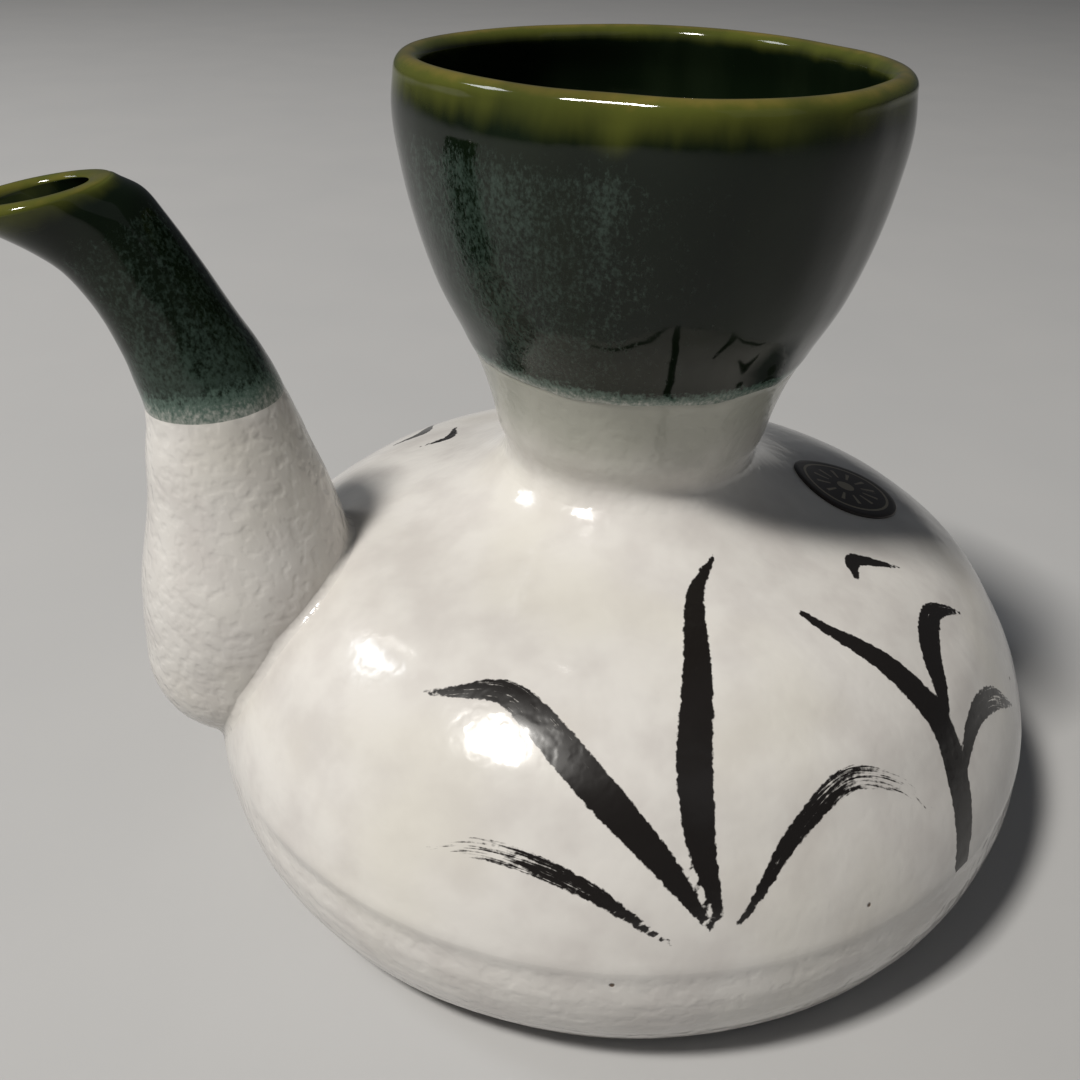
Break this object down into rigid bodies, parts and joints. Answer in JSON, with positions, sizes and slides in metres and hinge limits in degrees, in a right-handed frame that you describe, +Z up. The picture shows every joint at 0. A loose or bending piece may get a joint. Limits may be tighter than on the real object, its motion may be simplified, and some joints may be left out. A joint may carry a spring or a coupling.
{
  "type": "sake bottle",
  "caption": "Squat round ceramic sake bottle with a swan-neck spout, a waisted neck and a wide green-glazed cup mouth.",
  "frame": {"origin": "middle of the flat underside", "axes": "+Z up, the spout points along -X"},
  "size_m": [0.1745, 0.1514, 0.13],
  "materials": {
    "white_glaze_foot": "glossy off-white glaze, lightly pebbled",
    "white_glaze_body": "glossy off-white glaze with brush strokes",
    "white_glaze_neck": "glossy off-white glaze",
    "white_glaze_spout": "off-white glaze with an orange-peel surface",
    "green_glaze_cup": "very glossy dark green glaze, amber where thin",
    "green_glaze_spout": "glossy dark green glaze, speckled paler at its edge",
    "slip_base": "glazed slip",
    "slip_neck": "glazed slip",
    "slip_spout": "glazed slip",
    "label_paper": "dark printed paper with a fine ring"
  },
  "bodies": {
    "root": {"base_dish": "white_glaze_foot", "dome": "white_glaze_body", "cup": "white_glaze_neck", "spout": "white_glaze_spout", "cup_glaze": "green_glaze_cup", "spout_glaze": "green_glaze_spout", "base_slip": "slip_base", "neck_slip": "slip_neck", "spout_slip": "slip_spout", "label": "label_paper"}
  },
  "joints": []
}
